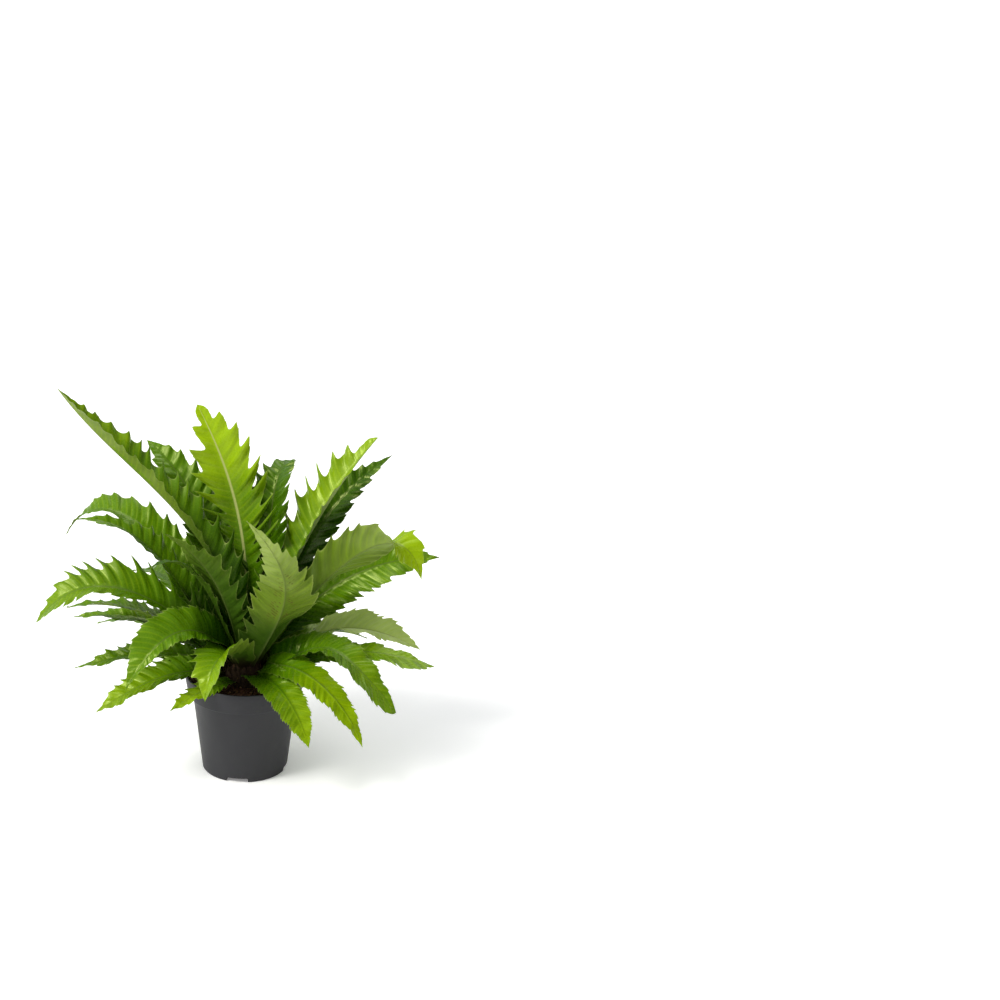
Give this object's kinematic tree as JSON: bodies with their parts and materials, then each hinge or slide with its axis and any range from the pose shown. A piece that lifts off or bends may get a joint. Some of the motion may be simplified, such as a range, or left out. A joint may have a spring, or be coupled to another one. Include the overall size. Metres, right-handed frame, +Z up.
{
  "type": "potted bird's nest fern",
  "caption": "Bird's nest fern with toothed, wavy, arching fronds in a rosette, growing from peat in a round plastic nursery pot.",
  "frame": {"origin": "middle of the pot's flat underside", "axes": "+Z up along the pot's axis, +X to the right and +Y away in the pictured view"},
  "size_m": [0.3996, 0.3028, 0.3905],
  "materials": {
    "pot_plastic": "fine matt moulded polypropylene, anthracite",
    "peat": "fibrous reddish-brown peat, dull",
    "rootstock": "dark brown papery scales round the leaf bases",
    "leaf": "leathery ribbed leaf, waxy gloss above and matt below"
  },
  "bodies": {
    "root": {"pot": "pot_plastic", "peat": "peat", "rootstock": "rootstock", "frond_01": "leaf", "frond_02": "leaf", "frond_03": "leaf", "frond_04": "leaf", "frond_05": "leaf", "frond_06": "leaf", "frond_07": "leaf", "frond_08": "leaf", "frond_09": "leaf", "frond_10": "leaf", "frond_11": "leaf", "frond_12": "leaf", "frond_13": "leaf", "frond_14": "leaf", "frond_15": "leaf", "frond_16": "leaf", "frond_17": "leaf", "frond_18": "leaf", "frond_19": "leaf", "frond_20": "leaf", "frond_21": "leaf", "frond_22": "leaf", "frond_23": "leaf", "frond_24": "leaf", "frond_25": "leaf", "frond_26": "leaf", "frond_27": "leaf", "frond_28": "leaf", "frond_29": "leaf", "frond_30": "leaf", "frond_31": "leaf", "frond_32": "leaf", "frond_33": "leaf", "frond_34": "leaf", "frond_35": "leaf", "frond_36": "leaf"}
  },
  "joints": []
}
